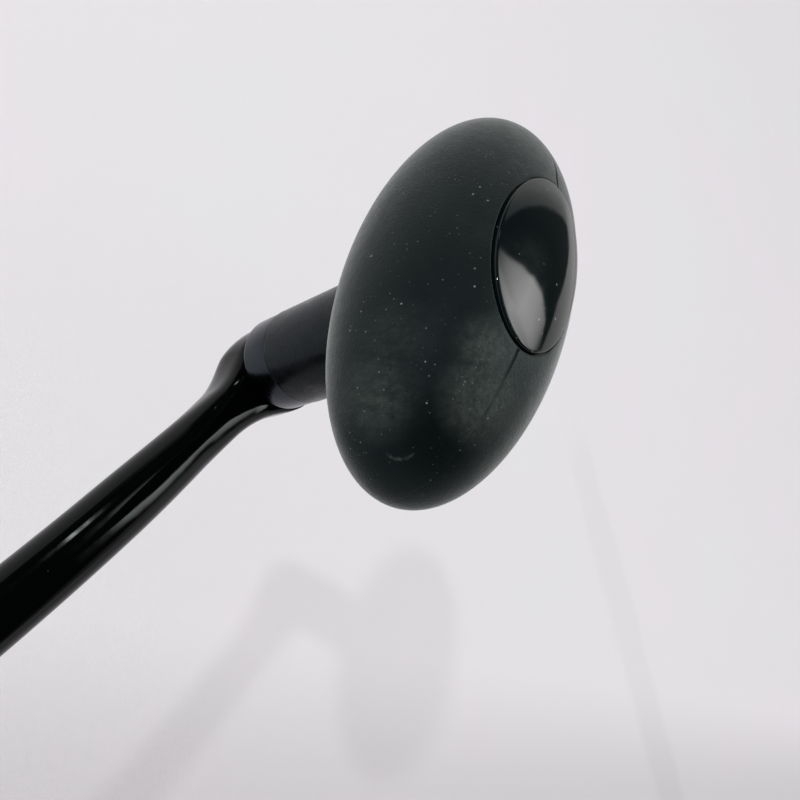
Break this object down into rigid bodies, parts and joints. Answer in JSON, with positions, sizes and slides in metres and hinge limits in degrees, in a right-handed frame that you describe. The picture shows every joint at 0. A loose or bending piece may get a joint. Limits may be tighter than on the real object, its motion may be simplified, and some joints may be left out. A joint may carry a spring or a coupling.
{
  "type": "fishing reel power handle",
  "caption": "Reel handle: a cranked round arm on a drive shaft carries an egg-shaped knob that turns on ball bearings round an upright post, under an oval snap-in cap.",
  "frame": {"origin": "on the drive shaft's axis, in the seat face of its shoulder", "axes": "+Z along the drive shaft towards the knob, +X from the drive shaft towards the knob post"},
  "size_m": [0.1005, 0.0308, 0.0788],
  "materials": {
    "arm_paint": "gloss black paint",
    "steel": "turned steel",
    "plug_plastic": "matte black",
    "collar_metal": "satin bluish grey anodising",
    "shim_brass": "satin",
    "bearing_steel": "ground and polished",
    "cage_metal": "satin",
    "spacer_metal": "satin",
    "core_plastic": "satin black",
    "grip_rubber": "matte soft-touch",
    "cap_plastic": "gloss black"
  },
  "bodies": {
    "arm_body": {"crank_arm": "arm_paint", "drive_shaft": "steel", "hub_washer": "steel", "hub_screw": "steel", "hub_plug": "plug_plastic", "knob_post": "steel", "peen_washer": "steel", "collar_ring": "collar_metal", "bearing_shim": "shim_brass", "lower_inner_race": "bearing_steel", "bearing_spacer": "spacer_metal", "upper_inner_race": "bearing_steel", "post_washer": "steel", "post_screw": "steel"},
    "knob": {"knob_core": "core_plastic", "grip": "grip_rubber", "end_cap": "cap_plastic", "lower_outer_race": "bearing_steel", "upper_outer_race": "bearing_steel"},
    "lower_cage_body": {"lower_balls": "bearing_steel", "lower_cage": "cage_metal"},
    "upper_cage_body": {"upper_balls": "bearing_steel", "upper_cage": "cage_metal"}
  },
  "joints": [
    {"name": "knob_spin", "type": "hinge", "parent": "arm_body", "child": "knob", "pos_m": [0.068, 0, 0.0423], "axis": [0, 0, 1], "continuous": true},
    {"name": "lower_cage_spin", "type": "hinge", "parent": "arm_body", "child": "lower_cage_body", "pos_m": [0.068, 0, 0.01775], "axis": [0, 0, 1], "continuous": true},
    {"name": "upper_cage_spin", "type": "hinge", "parent": "arm_body", "child": "upper_cage_body", "pos_m": [0.068, 0, 0.0415], "axis": [0, 0, 1], "continuous": true}
  ],
  "couplings": [
    {"joint": "lower_cage_spin", "follows": "knob_spin", "ratio": 0.6},
    {"joint": "upper_cage_spin", "follows": "knob_spin", "ratio": 0.6}
  ]
}
